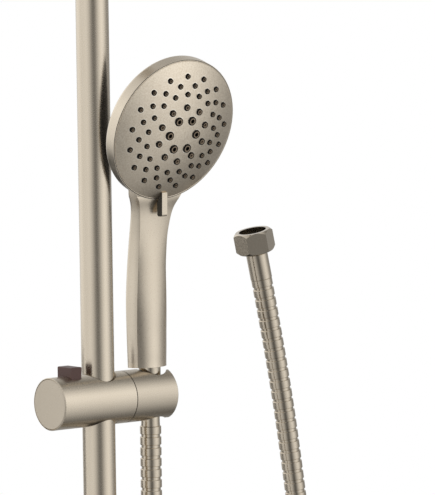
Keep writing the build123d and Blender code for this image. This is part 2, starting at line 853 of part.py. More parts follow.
# Front panel of the handle: a crowned cover from the foot up to the spray head
with BuildPart() as handle_panel:
    for height, half, front, crown, side in handle_sections:
        with BuildSketch(handle_plane(height)):
            with BuildLine():
                edge = front + seam_gap
                ThreePointArc((-half, edge), (0, front + crown), (half, edge))
                Line((half, edge), (-half, edge))
            make_face()
    loft()
    with BuildSketch(face_plane.offset(-housing_depth)):
        Circle(housing_radius + seam_gap)
    extrude(amount=2 * housing_depth, mode=Mode.SUBTRACT)
    with BuildSketch(handle_plane(handle_bottom)):
        Circle(socket_diameter / 2 + running_fit)
    extrude(amount=socket_length + seat_gap, mode=Mode.SUBTRACT)
save(handle_panel, "handle_panel")

# Inlet socket in the foot of the handle
with BuildPart() as inlet_socket:
    with BuildSketch(handle_plane(handle_bottom)):
        Circle(socket_diameter / 2)
    extrude(amount=socket_length)
    with BuildSketch(handle_plane(handle_bottom)):
        Circle(stem_diameter / 2 + running_fit)
    extrude(amount=stem_length + stem_end_room, mode=Mode.SUBTRACT)
    with BuildSketch(handle_plane(handle_bottom)):
        Circle(tube_bore / 2)
    extrude(amount=socket_length, mode=Mode.SUBTRACT)
save(inlet_socket, "inlet_socket")

# Spray engine: the disc behind the face, seated in the housing, with a hub for the selector
hub_front = engine_front + selector_disc_thickness + engine_hub_rise
with BuildPart() as spray_engine:
    with BuildSketch(face_plane.offset(engine_back)):
        Circle(engine_diameter / 2)
    extrude(amount=engine_thickness)
    with BuildSketch(face_plane.offset(engine_front - engine_seat)):
        Circle(housing_inside - seat_gap)
    extrude(amount=engine_seat)
    with BuildSketch(face_plane.offset(engine_front)):
        Circle(engine_hub_diameter / 2)
    extrude(amount=hub_front - engine_front)
save(spray_engine, "spray_engine")

# Water tube from the socket up the handle to the neck
with BuildPart() as water_tube:
    with BuildSketch(handle_plane(handle_bottom + socket_length)):
        Circle(tube_diameter / 2)
        Circle(tube_bore / 2, mode=Mode.SUBTRACT)
    sweep(path=tube_path)
save(water_tube, "water_tube")

# Spray face: a crowned disc with a hole for every nozzle
crown_radius = (face_radius**2 + face_crown**2) / (2 * face_crown)


def crown_height(radius, sink=0.0):
    """Height of the crowned face above its rim at a radius from its centre."""
    drop = math.sqrt((crown_radius - sink) ** 2 - radius**2)
    return drop - crown_radius + face_crown


def crown_profile(outside, top_sink, bottom_sink):
    """Outline of a crowned disc between two depths under the face."""
    half = outside / 2
    Line((0, face_crown - bottom_sink), (0, face_crown - top_sink))
    ThreePointArc(
        (0, face_crown - top_sink),
        (half, crown_height(half, top_sink)),
        (outside, crown_height(outside, top_sink)),
    )
    Line((outside, crown_height(outside, top_sink)), (outside, crown_height(outside, bottom_sink)))
    ThreePointArc(
        (outside, crown_height(outside, bottom_sink)),
        (half, crown_height(half, bottom_sink)),
        (0, face_crown - bottom_sink),
    )


with BuildPart() as spray_face:
    with BuildSketch(face_profile):
        with BuildLine():
            crown_profile(face_radius - face_edge, 0, face_skin)
        make_face()
    revolve(axis=face_axis)
    with BuildSketch(face_plane.offset(-face_rebate + seat_gap)):
        Circle(face_radius)
        Circle(face_radius - face_rim_wall, mode=Mode.SUBTRACT)
    extrude(amount=face_rebate - seat_gap)
    rim_edges = spray_face.edges().filter_by(GeomType.CIRCLE).sort_by_distance(head_center)
    fillet(rim_edges[-1], face_rim_round)
    for ring, count, size, start in nozzle_rings:
        with BuildSketch(face_plane.offset(-face_rebate)):
            with PolarLocations(ring, count, start):
                Circle(size / 2 + nozzle_fit)
        extrude(amount=face_rebate + face_crown, mode=Mode.SUBTRACT)
save(spray_face, "spray_face")

# Rubber nozzle mat: a thin crowned sheet under the face with a nozzle through every hole
with BuildPart() as nozzle_mat:
    with BuildSketch(face_profile):
        with BuildLine():
            crown_profile(mat_diameter / 2, face_skin + running_fit, face_skin + mat_skin)
        make_face()
    revolve(axis=face_axis)
    for ring, count, size, start in nozzle_rings:
        foot = crown_height(ring) - face_skin - mat_skin / 2
        with BuildSketch(face_plane.offset(foot)):
            with PolarLocations(ring, count, start):
                Circle(size / 2)
        extrude(amount=face_skin + mat_skin / 2 + nozzle_stand)
        with BuildSketch(face_plane.offset(crown_height(ring) + nozzle_stand)):
            with PolarLocations(ring, count, start):
                Circle(size * nozzle_hole_share)
        extrude(amount=-nozzle_stand - nozzle_hole_sink, mode=Mode.SUBTRACT)
save(nozzle_mat, "nozzle_mat")

# Selector: a disc with ports that turns on the engine's hub, together with the face above it
with BuildPart() as selector_disc:
    with BuildSketch(face_plane.offset(engine_front + seat_gap)):
        Circle(selector_disc_diameter / 2)
        Circle(engine_hub_diameter / 2 + running_fit, mode=Mode.SUBTRACT)
        with PolarLocations((selector_disc_diameter + engine_hub_diameter) / 4, 6):
            Circle(disc_port / 2, mode=Mode.SUBTRACT)
    extrude(amount=selector_disc_thickness)
save(selector_disc, "selector_disc")

# Lever: a fin that stands on the lower edge of the face and hangs in front of the neck
rim_low = head_center - face_up * housing_radius
lever_profile = Plane(origin=rim_low, x_dir=(0, -1, 0), z_dir=(-1, 0, 0))
with BuildPart() as selector_lever:
    with BuildSketch(lever_profile):
        with BuildLine():
            Polyline(*lever_outline, close=True)
        make_face()
    extrude(amount=lever_thickness / 2, both=True)
    lever_edges = selector_lever.edges().filter_by(Axis.X).sort_by(Axis.Z)
    fillet(lever_edges[:2], lever_foot_round)
    tip = selector_lever.edges().filter_by(Axis.X).sort_by(Axis.Z)[-1]
    fillet(tip, lever_tip_round)
    with BuildSketch(face_profile):
        with BuildLine():
            crown_profile(face_radius, -running_fit, face_skin)
        make_face()
    revolve(axis=face_axis, mode=Mode.SUBTRACT)
save(selector_lever, "selector_lever")
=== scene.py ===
# %% [markdown]
# # A hand shower on its slide bar
# The solids of the part are already modelled, to size and with their joints. This lesson dresses them: it
# sets up the camera and the studio, gives every solid a finish made of nodes, and adds what the solids leave
# out. That is the thin trim of the face, and the wound metal of the hose, which its solid shows as plain
# ribs. The wall is the plane y = 0, the front looks towards -Y, and +Z runs up the bar.

# %% Load the solids
import math

import bpy
from mathutils import Matrix, Vector


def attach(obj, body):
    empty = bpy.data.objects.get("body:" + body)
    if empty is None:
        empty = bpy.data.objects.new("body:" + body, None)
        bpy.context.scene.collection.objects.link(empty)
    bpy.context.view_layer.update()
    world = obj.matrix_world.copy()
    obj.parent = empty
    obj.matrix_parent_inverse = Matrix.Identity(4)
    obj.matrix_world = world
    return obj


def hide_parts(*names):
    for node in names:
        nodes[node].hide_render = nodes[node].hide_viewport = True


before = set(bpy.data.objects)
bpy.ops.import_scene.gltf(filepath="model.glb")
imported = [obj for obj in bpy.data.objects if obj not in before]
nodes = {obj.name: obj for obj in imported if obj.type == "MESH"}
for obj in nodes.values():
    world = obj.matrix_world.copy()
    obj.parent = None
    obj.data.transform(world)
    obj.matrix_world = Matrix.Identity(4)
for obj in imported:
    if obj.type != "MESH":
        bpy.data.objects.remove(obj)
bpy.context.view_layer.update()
bpy.ops.object.select_all(action="DESELECT")

# %% [markdown]
# ## Camera
# A product picture of a long, slim object is taken with a long lens from far away, so that the bar stays
# straight and the round head keeps its shape. The camera stands to the left of the object at about the
# height of the upper post, and looks slightly down at the hand shower. The picture leans by less than a
# degree, so the camera is rolled.

# %% Camera
eye = Vector((-2.0127, -2.6353, 0.3800))
target = Vector((0.0641, -0.0974, 0.0972))
lean = math.radians(-0.805)
bpy.ops.object.camera_add(location=eye)
camera = bpy.context.object
camera.name = "camera"
aim = (target - eye).to_track_quat("-Z", "Y").to_matrix()
camera.rotation_euler = (aim @ Matrix.Rotation(lean, 3, "Z")).to_euler()
camera.data.lens = 356.7
camera.data.sensor_width = 36
camera.data.clip_end = 60
bpy.context.scene.camera = camera
print("camera stands", round((target - eye).length, 2), "m away")

# %% [markdown]
# ## Shader maths as expressions
# A finish is a small formula: some noise, stretched one way, makes the surface a little rougher here and
# there. It could be drawn as a web of nodes, but a formula is easier to read and to change. Field wraps one
# socket, and + - * on it add Math nodes.

# %% Field
class Field:
    """A value that changes over a surface. Arithmetic on it adds Math nodes."""

    def __init__(self, graph, socket):
        self.graph = graph
        self.socket = socket

    def __add__(self, other):
        return self.graph.maths("ADD", self, other)

    def __sub__(self, other):
        return self.graph.maths("SUBTRACT", self, other)

    def __rsub__(self, other):
        return self.graph.maths("SUBTRACT", other, self)

    def __mul__(self, other):
        return self.graph.maths("MULTIPLY", self, other)

    __radd__ = __add__
    __rmul__ = __mul__


print("Field is ready")

# %% [markdown]
# ## Nodes from one method
# Any other node comes from Graph.node: its type, its settings, and then the values or links of its sockets.
# The nodes that are needed again and again have a short method on top of it: a Math node, a ramp of greys,
# the place on the piece, noise, and the x, y and z of a vector.

# %% Graph
class Graph:
    """A node tree that is written as expressions."""

    def __init__(self, tree):
        self.tree = tree

    def node(self, kind, settings=None, inputs=None, output=0):
        """Adds one node and returns one of its outputs."""
        made = self.tree.nodes.new(kind)
        for name, value in (settings or {}).items():
            if name == "stops":
                self.set_stops(made.color_ramp, value)
            else:
                setattr(made, name, value)
        for name, value in (inputs or {}).items():
            self.feed(made.inputs[name], value)
        return Field(self, made.outputs[output])

    def set_stops(self, ramp, stops):
        """Sets a ramp's stops, each a place from 0 to 1 and a grey level, in rising order."""
        first, *middle, last = stops
        ramp.elements[0].position = first[0]
        ramp.elements[1].position = last[0]
        ramp.elements[0].color = (first[1], first[1], first[1], 1)
        ramp.elements[1].color = (last[1], last[1], last[1], 1)
        for place, level in middle:
            ramp.elements.new(place).color = (level, level, level, 1)

    def feed(self, socket, value):
        """Links a Field to a socket, or sets a plain value on it."""
        if isinstance(value, Field):
            self.tree.links.new(value.socket, socket)
        else:
            socket.default_value = value

    def maths(self, operation, first, second=0.0):
        return self.node("ShaderNodeMath", {"operation": operation}, {0: first, 1: second})

    def ramp(self, stops, value):
        return self.node("ShaderNodeValToRGB", {"stops": stops}, {0: value})

    def place(self):
        return self.node("ShaderNodeTexCoord", output="Object")

    def noise(self, place, scale, detail=2.0):
        return self.node("ShaderNodeTexNoise", inputs={"Vector": place, "Scale": scale, "Detail": detail})

    def split(self, vector):
        """The x, y and z of a vector, as three Fields."""
        made = self.node("ShaderNodeSeparateXYZ", inputs={0: vector}).socket.node
        return [Field(self, socket) for socket in made.outputs]


print("Graph is ready")

# %% [markdown]
# ## Light and dark round the room
# Satin metal has hardly any colour of its own: what it shows is the room. So the light is a white room that
# is bright to the left and to the right, with a narrow dark gap near the camera and a darker far right. On
# every upright cylinder that gap becomes the dark line down the middle. One list goes round the room, in
# degrees from the camera. The next goes up, by the height of a direction: the room is brightest a little
# above eye level and dim towards the floor, which shades the slider from top to bottom. Low down behind the
# object, on the left, there is a dark corner, which the underside of the spray head shows.

# %% Levels of the room
around_stops = [
    (-180, 0.50), (-132, 0.86), (-112, 0.88), (-95, 0.74), (-70, 0.74), (-45, 0.79), (-24, 0.59), (-8, 0.27),
    (5, 0.14), (16, 0.19), (30, 0.46), (46, 0.76), (68, 0.96), (88, 0.75), (105, 0.42), (125, 0.26),
    (150, 0.34), (180, 0.50),
]
up_stops = [(-1.0, 0.22), (-0.87, 0.36), (-0.5, 0.56), (0.0, 0.84), (0.38, 1.0), (0.7, 0.72), (1.0, 0.46)]
corner_stops = [(-180, 0.3), (-165.6, 0.97), (-124.2, 0.97), (-104.4, 0.0), (180, 0.0)]
corner_top, corner_full = -0.14, -0.38
print("room:", len(around_stops), "levels round it,", len(up_stops), "levels up")

# %% [markdown]
# ## Studio
# The room could be built of lamps, but a formula over all directions is easier to tune. The lists become
# ramps, and their product is how bright the room is. The camera itself sees plain white.

# %% Studio room
room_turn = math.radians(128.1)
room_strength = 1.5


def by_bearing(stops):
    """Stops in degrees from the camera, as places on a ramp."""
    return [((angle + 180) / 360, level) for angle, level in stops]


world = bpy.data.worlds.new("studio")
bpy.context.scene.world = world
world.use_nodes = True
room = Graph(world.node_tree)
to_room = room.node("ShaderNodeTexCoord", output="Generated")
from_camera = room.node("ShaderNodeMapping", inputs={"Vector": to_room, "Rotation": (0, 0, room_turn)})
ahead, side, height = room.split(from_camera)
bearing = room.maths("ARCTAN2", side, ahead) * (0.5 / math.pi) + 0.5
around = room.ramp(by_bearing(around_stops), bearing)
up_down = room.ramp([((z + 1) / 2, level) for z, level in up_stops], height * 0.5 + 0.5)
behind = room.ramp(by_bearing(corner_stops), bearing)
low = room.node(
    "ShaderNodeMapRange", inputs={"Value": height, "From Min": corner_top, "From Max": corner_full},
)
glow = around * up_down * (1 - low * behind)
background = world.node_tree.nodes["Background"]
glow_colour = room.node("ShaderNodeCombineColor", inputs={0: glow, 1: glow, 2: glow})
room.feed(background.inputs["Color"], glow_colour)
background.inputs["Strength"].default_value = room_strength
white = room.node("ShaderNodeBackground", inputs={"Color": (1, 1, 1, 1), "Strength": 1.0})
seen = room.node("ShaderNodeLightPath", output="Is Camera Ray")
shown = room.node("ShaderNodeMixShader", inputs={0: seen, 1: Field(room, background.outputs[0]), 2: white})
room.feed(world.node_tree.nodes["World Output"].inputs["Surface"], shown)
bpy.context.scene.view_settings.view_transform = "Standard"
print("studio:", len(world.node_tree.nodes), "nodes")

# %% [markdown]
# ## Key light
# One large lamp high above the camera lights the plastic and the floor. It is hidden from reflections,
# because the metal would show it as a white square.

# %% Key light
key_aim = Vector((0.05, -0.05, 0))
bpy.ops.object.light_add(type="AREA", location=(-1.6, -2.2, 2.4))
key = bpy.context.object
key.name = "key_light"
key.rotation_euler = (key_aim - key.location).to_track_quat("-Z", "Y").to_euler()
key.data.size = 1.6
key.data.energy = 40
key.visible_camera = False
key.visible_glossy = False
print("key light:", key.data.energy, "W")

# %% [markdown]
# ## Floor
# The object hangs on a wall that isn't part of it, so only a plain pale floor lies below it, low enough for
# the hose when the slider is at the foot of the bar. A square sheet would show a slanted far edge, so it is
# a wide round one, whose edge looks level from every side. It ends where the camera's picture would begin
# to show it.

# %% Floor
floor_level = -0.79
floor_radius = 6.2
floor_middle = -1.5
floor_colour = (0.86, 0.855, 0.845)


def new_finish(name):
    """A new material, its graph and its shader."""
    material = bpy.data.materials.new(name)
    material.use_nodes = True
    return material, Graph(material.node_tree), material.node_tree.nodes["Principled BSDF"]


bpy.ops.mesh.primitive_circle_add(vertices=128, radius=floor_radius, fill_type="NGON", location=(0, 0, 0))
floor = bpy.context.object
floor.name = "floor"
bpy.ops.object.mode_set(mode="EDIT")
bpy.ops.mesh.select_all(action="SELECT")
bpy.ops.mesh.inset(thickness=floor_radius / 2)
bpy.ops.mesh.select_all(action="SELECT")
bpy.ops.transform.translate(value=(0, floor_middle, floor_level))
bpy.ops.object.mode_set(mode="OBJECT")
floor_finish, floor_graph, floor_shader = new_finish("pale_floor")
floor_shader.inputs["Base Color"].default_value = (*floor_colour, 1)
floor_cloud = floor_graph.noise(floor_graph.place(), 3.0, 4.0)
floor_graph.feed(floor_shader.inputs["Roughness"], floor_cloud * 0.12 + 0.6)
floor.data.materials.append(floor_finish)
floor.visible_glossy = False
print("floor at", floor_level, "m")

# %% [markdown]
# ## Tools for finishes
# The finishes share three steps: a mix of two colours, a soft step from 0 to 1, and a fine relief that tilts
# the surface. They are written once here.

# %% Tools for finishes
relief_depth = 0.0002


def blend_colours(graph, share, first, second):
    """Mixes two colours, each of them three numbers or a Field."""
    first, second = [colour if isinstance(colour, Field) else (*colour, 1) for colour in (first, second)]
    # Sockets 6 and 7 of a Mix node take its two colours, and output 2 gives the mixed one.
    return graph.node("ShaderNodeMix", {"data_type": "RGBA"}, {0: share, 6: first, 7: second}, output=2)


def fade(graph, value, start, end):
    """0 at start, 1 at end and smooth between them."""
    return graph.node(
        "ShaderNodeMapRange", {"interpolation_type": "SMOOTHSTEP"},
        {"Value": value, "From Min": start, "From Max": end},
    )


def add_relief(graph, shader, strength, height, under=None):
    """Tilts the surface by a fine height, on top of the normal that under gives."""
    inputs = {"Strength": strength, "Distance": relief_depth, "Height": height}
    if under is not None:
        inputs["Normal"] = under
    graph.feed(shader.inputs["Normal"], graph.node("ShaderNodeBump", inputs=inputs))


print("relief:", relief_depth * 1000, "mm deep")

# %% [markdown]
# ## Satin nickel
# The bar, the posts and the slider are brass tube with a plated satin finish: drawn, brushed and then
# plated, so fine lines run along each piece. Stretched noise gives those lines. They change the roughness a
# little, tilt the surface a little, and move the colour between two warm greys. A second, even noise adds
# the grain that sparkles.

# %% Satin nickel
nickel_dark = (0.59, 0.505, 0.392)
nickel_light = (0.79, 0.712, 0.592)
sparkle_scale = 1500.0
cloud_scale = 18.0


def toned(colour, tone):
    """A colour made lighter or darker."""
    return tuple(min(channel * tone, 1.0) for channel in colour)


def satin_metal(name, grain, tone, smooth, spread, relief, easing=None):
    """Brushed and plated metal.

    grain stretches the lines along x, y and z, and tone lightens the colour. smooth is the roughness, spread
    how much it varies and relief how far the lines tilt the surface. easing gives a broad height that
    changes the shading.
    """
    material, graph, shader = new_finish(name)
    place = graph.place()
    drawn = graph.node("ShaderNodeMapping", inputs={"Vector": place, "Scale": grain})
    lines = graph.noise(drawn, 1.0, 3.0)
    sparkle = graph.noise(place, sparkle_scale)
    share = lines * 0.4 + sparkle * 0.4 + graph.noise(place, cloud_scale) * 0.2
    colour = blend_colours(graph, share, toned(nickel_dark, tone), toned(nickel_light, tone))
    graph.feed(shader.inputs["Base Color"], colour)
    graph.feed(shader.inputs["Roughness"], (lines + sparkle - 1.0) * spread + smooth)
    shader.inputs["Metallic"].default_value = 1.0
    broad = None
    if easing:
        broad_inputs = {"Strength": 1.0, "Distance": 1.0, "Height": easing(graph, place)}
        broad = graph.node("ShaderNodeBump", inputs=broad_inputs)
    add_relief(graph, shader, relief, lines * 0.7 + sparkle * 0.3, broad)
    return material


print("nickel between", nickel_dark, "and", nickel_light)

# %% [markdown]
# ## One line for each metal
# The lines of the brushing follow how each piece is turned: along the bar, along the posts, and along the
# slider. The other pieces have a nearly even grain. The panel of the handle is buffed flatter in its middle
# than its solid is, which only its shading shows.

# %% Metals
handle_x = 0.0444
buffed_from, buffed_full = 0.03, 0.085
buffed_easing, buffed_to = 0.100, 0.122
buffed_curve = 10.0


def buffed_flat(graph, place):
    """Height in metres that takes some of the crown out of the middle of the handle's panel."""
    x, _, z = graph.split(place)
    aside = x - handle_x
    reach = fade(graph, z, buffed_from, buffed_full) * fade(graph, z, buffed_to, buffed_easing)
    return aside * aside * reach * buffed_curve


metals = {  # grain, tone, smooth, spread, relief, easing
    "bar_nickel": ((2200, 2200, 40), 1.0, 0.26, 0.08, 0.03),
    "post_nickel": ((2200, 60, 2200), 1.0, 0.28, 0.10, 0.04),
    "slider_nickel": ((60, 2200, 2200), 0.94, 0.28, 0.10, 0.04),
    "holder_nickel": ((60, 2200, 2200), 0.84, 0.28, 0.10, 0.04),
    # Painted shade: the end cap's nickel is made darker, tone 0.80.
    "cap_shaded_nickel": ((2200, 900, 900), 0.80, 0.30, 0.10, 0.08),
    "shell_nickel": ((900, 900, 700), 1.02, 0.30, 0.10, 0.02),
    "panel_nickel": ((900, 900, 700), 1.02, 0.30, 0.10, 0.02, buffed_flat),
    "hose_nickel": ((1500, 1500, 1500), 0.88, 0.15, 0.06, 0.04),
    # Painted highlight: the bead's nickel is made lighter, tone 1.24.
    "bead_highlight_nickel": ((900, 900, 900), 1.24, 0.22, 0.06, 0.03),
    "plain_steel": ((900, 900, 900), 0.72, 0.3, 0.1, 0.1),
}
finishes = {name: satin_metal(name, *values) for name, values in metals.items()}
print(sorted(finishes))

# %% [markdown]
# ## Where the nozzles are
# The face and its rubber sheet need to know how near a point is to a nozzle: a painted highlight brightens
# the edge of every hole, and the nozzle's tip is painted paler than the painted shadow round it. The nozzles
# sit on five rings, so the nearest one is found from the angle and the radius on the face.

# %% Nozzle distance
head_centre = (0.0444, -0.0768, 0.1765)
face_turn = math.radians(108)
nozzle_rings = [  # radius in mm, number of nozzles, their diameter in mm, angle of the first one
    (11.2, 6, 5.8, 0.0),
    (19.2, 10, 4.4, 18.0),
    (27.9, 17, 3.5, 5.3),
    (33.7, 17, 3.5, 15.9),
    (39.4, 17, 3.5, 5.3),
]


def nozzle_edge(graph, place):
    """Distance from the edge of the nearest nozzle in millimetres, negative on the nozzle itself."""
    flat = graph.node(
        "ShaderNodeMapping", {"vector_type": "TEXTURE"},
        {"Vector": place, "Location": head_centre, "Rotation": (face_turn, 0, 0)},
    )
    across, upward, _ = graph.split(flat)
    radius = graph.maths("SQRT", across * across + upward * upward) * 1000
    angle = graph.maths("ARCTAN2", upward, across) * (0.5 / math.pi)
    nearest = None
    for ring, count, size, start in nozzle_rings:
        turn = angle * count + (0.5 - start * count / 360)
        aside = (graph.maths("FRACT", turn) - 0.5) * (2 * math.pi * ring / count)
        outward = radius - ring
        edge = graph.maths("SQRT", aside * aside + outward * outward) - size / 2
        nearest = edge if nearest is None else graph.maths("MINIMUM", nearest, edge)
    return nearest


print(sum(count for _, count, _, _ in nozzle_rings), "nozzles")

# %% [markdown]
# ## Spray face
# The face is blasted before it is plated, which gives an even, sparkling grain instead of lines. Its grain
# is coarser than that of the shell. Its colours are lighter than the other nickel's: painted light that
# brightens the face. A narrow band round every nozzle hole is smoother and painted lighter still, a painted
# highlight on its edge.

# %% Spray face finish
hole_highlight_colour = (1.0, 0.93, 0.80)
highlight_outer, highlight_inner = 0.9, 0.4
face_scale = 1000.0
face_material, face_graph, face_shader = new_finish("face_nickel")
face_place = face_graph.place()
face_grain = face_graph.noise(face_place, face_scale)
face_share = face_grain * 1.5 + face_graph.noise(face_place, cloud_scale) * 0.2 - 0.35
# Painted light: both colours of the face are lighter than the other nickel's.
blasted = blend_colours(face_graph, face_share, toned(nickel_dark, 1.08), toned(nickel_light, 1.14))
# Painted highlight: a lighter band round the edge of every nozzle hole.
painted_hole_highlight = fade(face_graph, nozzle_edge(face_graph, face_place), highlight_outer, highlight_inner)
face_colour = blend_colours(face_graph, painted_hole_highlight * 0.8, blasted, hole_highlight_colour)
face_graph.feed(face_shader.inputs["Base Color"], face_colour)
face_graph.feed(face_shader.inputs["Roughness"], face_grain * 0.2 + 0.24 - painted_hole_highlight * 0.08)
face_shader.inputs["Metallic"].default_value = 1.0
add_relief(face_graph, face_shader, 0.2, face_grain)
finishes["face_nickel"] = face_material
print("face finish:", len(face_material.node_tree.nodes), "nodes")

# %% [markdown]
# ## Plastic and rubber
# The lock button and the inner pieces are moulded plastic, which has a fine spark-eroded texture from its
# mould. The seals are black rubber. One function makes all three, because only the colours, the grain and
# the shine differ.

# %% Plastic and rubber
mottle_scale = 60.0


def moulded(name, dark, light, grain, smooth, relief):
    """Moulded plastic or rubber with the fine texture of its mould."""
    material, graph, shader = new_finish(name)
    place = graph.place()
    texture = graph.noise(place, grain, 3.0)
    share = texture * 0.5 + graph.noise(place, mottle_scale) * 0.5
    graph.feed(shader.inputs["Base Color"], blend_colours(graph, share, dark, light))
    graph.feed(shader.inputs["Roughness"], texture * 0.2 + smooth)
    add_relief(graph, shader, relief, texture)
    return material


mouldings = {  # dark colour, light colour, grain, smooth, relief
    "button_brown": ((0.05, 0.02, 0.0147), (0.094, 0.0415, 0.0315), 1600, 0.32, 0.15),
    "inner_plastic": ((0.10, 0.10, 0.10), (0.17, 0.165, 0.16), 1200, 0.42, 0.15),
    "seal_rubber": ((0.012, 0.012, 0.012), (0.03, 0.03, 0.03), 1400, 0.5, 0.2),
}
for name, values in mouldings.items():
    finishes[name] = moulded(name, *values)
print(sorted(mouldings))

# %% [markdown]
# ## Lever
# The front strip of the lever is plated. Its two sides are painted dark, less metallic and rougher: painted
# shade. They are told apart from the front by the way they face, because the lever is one solid and keeps
# its mesh.

# %% Lever finish
lever_shade_colour = (0.055, 0.05, 0.042)
side_from, side_full = 0.6, 0.8
lever_material, lever_graph, lever_shader = new_finish("lever_plated")
lever_grain = lever_graph.noise(lever_graph.place(), sparkle_scale)
facing_x, _, _ = lever_graph.split(lever_graph.node("ShaderNodeTexCoord", output="Normal"))
# Painted shade: the sides of the lever, found by the way they face, are darker, less metallic and rougher.
lever_shaded_side = fade(lever_graph, lever_graph.maths("ABSOLUTE", facing_x), side_from, side_full)
lever_front = blend_colours(lever_graph, lever_grain, nickel_dark, nickel_light)
lever_colour = blend_colours(lever_graph, lever_shaded_side, lever_front, lever_shade_colour)
lever_graph.feed(lever_shader.inputs["Base Color"], lever_colour)
lever_graph.feed(lever_shader.inputs["Metallic"], 1 - lever_shaded_side * 0.6)
lever_graph.feed(lever_shader.inputs["Roughness"], lever_grain * 0.1 + lever_shaded_side * 0.15 + 0.24)
add_relief(lever_graph, lever_shader, 0.06, lever_grain)
finishes["lever_plated"] = lever_material
print("lever finish:", len(lever_material.node_tree.nodes), "nodes")

# %% [markdown]
# ## Nozzles
# The nozzles stand up out of one sheet of soft silicone. The rim of a nozzle is painted paler, a painted
# highlight on its tip, while its foot, the gap round it and its hole stay nearly black, dark silicone and
# painted shade. The rim is found by the distance from the nozzle's edge, in millimetres.

# %% Nozzle silicone
dark_silicone_and_shade = (0.003, 0.0025, 0.002)
tip_highlight_colour = (0.25, 0.195, 0.14)
rim_outer = (-0.55, -0.8)
rim_inner = (-1.5, -1.25)
rubber, rubber_graph, rubber_shader = new_finish("nozzle_silicone")
rubber_place = rubber_graph.place()
rubber_grain = rubber_graph.noise(rubber_place, 1400.0, 3.0)
rubber_edge = nozzle_edge(rubber_graph, rubber_place)
# Painted highlight on the tip of each nozzle, with painted shade round it and in its hole.
painted_tip_highlight = fade(rubber_graph, rubber_edge, *rim_outer) * fade(rubber_graph, rubber_edge, *rim_inner)
rubber_share = painted_tip_highlight * 0.95 + rubber_grain * 0.05
rubber_colour = blend_colours(rubber_graph, rubber_share, dark_silicone_and_shade, tip_highlight_colour)
rubber_graph.feed(rubber_shader.inputs["Base Color"], rubber_colour)
rubber_graph.feed(rubber_shader.inputs["Roughness"], rubber_grain * 0.2 + 0.5)
rubber_shader.inputs["Specular IOR Level"].default_value = 0.1
add_relief(rubber_graph, rubber_shader, 0.2, rubber_grain)
finishes["nozzle_silicone"] = rubber
print("nozzle finish:", len(rubber.node_tree.nodes), "nodes")

# %% [markdown]
# ## Every solid gets its finish
# A solid keeps its shape, and only its material slot changes. Two solids are hidden from reflections. The
# side of the handle would show the bar as a dark stripe. The bar would show the shell of the head as a pale,
# yellow patch, and without it the bar shows the dark pieces inside the head, which have nearly the same
# outline.

# %% Dress the solids
dress = {
    "bar_nickel": ["slide_bar"],
    "post_nickel": ["upper_post", "lower_post", "upper_flange", "lower_flange"],
    "slider_nickel": ["slider_body"],
    "holder_nickel": ["holder_body"],
    "cap_shaded_nickel": ["slider_end_cap"],
    "shell_nickel": ["handle_shell"],
    "panel_nickel": ["handle_panel"],
    "lever_plated": ["selector_lever"],
    "face_nickel": ["spray_face"],
    "hose_nickel": ["hose", "hose_cone", "hose_end_sleeve", "hose_end_nut"],
    "plain_steel": [
        "upper_bracket", "lower_bracket", "upper_grub_screw", "lower_grub_screw", "swivel_stud",
        "spring_washer",
    ],
    "inner_plastic": [
        "bar_bush", "holder_liner", "spray_engine", "selector_disc", "inlet_socket", "water_tube",
        "brake_shoe", "swivel_washer",
    ],
    "button_brown": ["lock_button"],
    "nozzle_silicone": ["nozzle_mat"],
    "seal_rubber": ["stem_o_ring", "hose_end_washer"],
}
for finish, dressed in dress.items():
    for name in dressed:
        nodes[name].data.materials.clear()
        nodes[name].data.materials.append(finishes[finish])
for name in ("slide_bar", "handle_shell"):
    nodes[name].visible_glossy = False
print("bare solids:", sorted(set(nodes) - {name for dressed in dress.values() for name in dressed}))

# %% [markdown]
# ## A grey card
# Shiny round metal loses its edge against white. In a studio a grey card stands just outside the picture,
# and the metal shows it as a thin dark line along its edge. This card stands low behind the object, so it
# draws the left edges of the hose and of the lower bar. Only reflections see it.

# %% Grey card
card_distance = 0.22
card_turn = math.radians(108)
card_width = 0.19
card_low, card_top = -0.45, 0.0
card_grey = 0.4


def only_reflected(thing):
    """Hides a thing from the camera, from diffuse light and from shadows, so that only reflections see it.
    """
    thing.visible_camera = False
    thing.visible_diffuse = False
    thing.visible_shadow = False


bpy.ops.object.select_all(action="DESELECT")
bpy.ops.mesh.primitive_plane_add(size=1, location=(0, 0, 0))
card = bpy.context.object
card.name = "grey_card"
card.data.transform(
    Matrix.Rotation(card_turn, 4, "Z")
    @ Matrix.Translation((card_distance, 0, (card_low + card_top) / 2))
    @ Matrix.Rotation(math.radians(90), 4, "Y")
    @ Matrix.Diagonal((card_top - card_low, card_width, 1, 1))
)
card_finish, _, card_shader = new_finish("grey_card")
card_shader.inputs["Base Color"].default_value = (card_grey, card_grey, card_grey, 1)
card_shader.inputs["Roughness"].default_value = 0.9
card.data.materials.append(card_finish)
only_reflected(card)
print("grey card:", card_width, "x", card_top - card_low, "m")

# %% [markdown]
# ## The bar in the hose
# The hose hangs so close beside the lower bar that the bar's reflection is one of the dark lines down its
# bands. The bar itself is hidden from reflections, so a rod of the same finish stands inside it, a little
# thinner, from the slider down to the lower post. Only reflections see it, and it is too low for the handle
# to show it.

# %% Bar for the hose
bar_y = -0.047
rod_radius = 0.0109
rod_low, rod_top = -0.345, -0.026
rod_length = rod_top - rod_low
bpy.ops.object.select_all(action="DESELECT")
bpy.ops.mesh.primitive_cylinder_add(vertices=96, radius=rod_radius, depth=rod_length, location=(0, 0, 0))
rod = bpy.context.object
rod.name = "reflected_bar"
rod.data.transform(Matrix.Translation((0, bar_y, (rod_low + rod_top) / 2)))
bpy.ops.object.shade_smooth_by_angle(angle=math.radians(30))
rod.data.materials.append(finishes["bar_nickel"])
only_reflected(rod)
print("reflected bar:", rod_low, "to", rod_top, "m")

